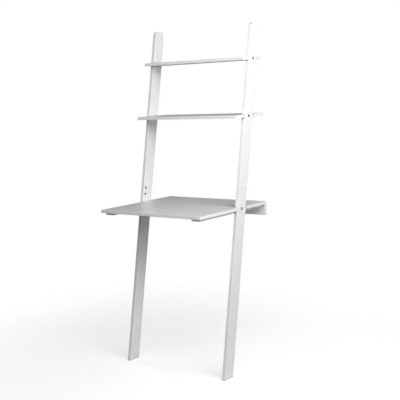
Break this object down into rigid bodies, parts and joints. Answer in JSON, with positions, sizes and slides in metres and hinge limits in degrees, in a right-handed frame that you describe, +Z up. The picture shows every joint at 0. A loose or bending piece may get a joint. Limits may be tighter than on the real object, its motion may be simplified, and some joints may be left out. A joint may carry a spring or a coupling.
{
  "type": "leaning ladder desk",
  "caption": "Narrow white desk on flat-board rails that lean back to a wall, with a deep desk top and shallower shelves above it.",
  "frame": {"origin": "on the floor, under the middle of the desk's width and depth", "axes": "+Z up, +Y towards the wall, -Y towards the sitter, +X to the sitter's right"},
  "size_m": [0.64, 0.55, 1.72],
  "materials": {
    "white_paint": "satin white paint on board",
    "bolt_steel": "zinc plated",
    "fitting_zinc": "zinc plated",
    "bare_wood": "unfinished beech"
  },
  "bodies": {
    "root": {"batten_screws_left": "fitting_zinc", "batten_screws_right": "fitting_zinc", "desk_barrel_nut_left": "fitting_zinc", "desk_barrel_nut_right": "fitting_zinc", "desk_batten_left": "white_paint", "desk_batten_right": "white_paint", "desk_bolt_left": "bolt_steel", "desk_bolt_right": "bolt_steel", "desk_top": "white_paint", "lower_rail_left": "white_paint", "lower_rail_right": "white_paint", "mid_shelf": "white_paint", "mid_shelf_barrel_nut_left": "fitting_zinc", "mid_shelf_barrel_nut_right": "fitting_zinc", "mid_shelf_bolt_left": "bolt_steel", "mid_shelf_bolt_right": "bolt_steel", "panel_cam_bolts": "fitting_zinc", "panel_cams": "fitting_zinc", "panel_dowels": "bare_wood", "rail_joint_bolts_left": "bolt_steel", "rail_joint_bolts_right": "bolt_steel", "rail_joint_inserts_left": "fitting_zinc", "rail_joint_inserts_right": "fitting_zinc", "rear_panel": "white_paint", "top_shelf": "white_paint", "top_shelf_barrel_nut_left": "fitting_zinc", "top_shelf_barrel_nut_right": "fitting_zinc", "top_shelf_bolt_left": "bolt_steel", "top_shelf_bolt_right": "bolt_steel", "upper_rail_left": "white_paint", "upper_rail_right": "white_paint"}
  },
  "joints": []
}
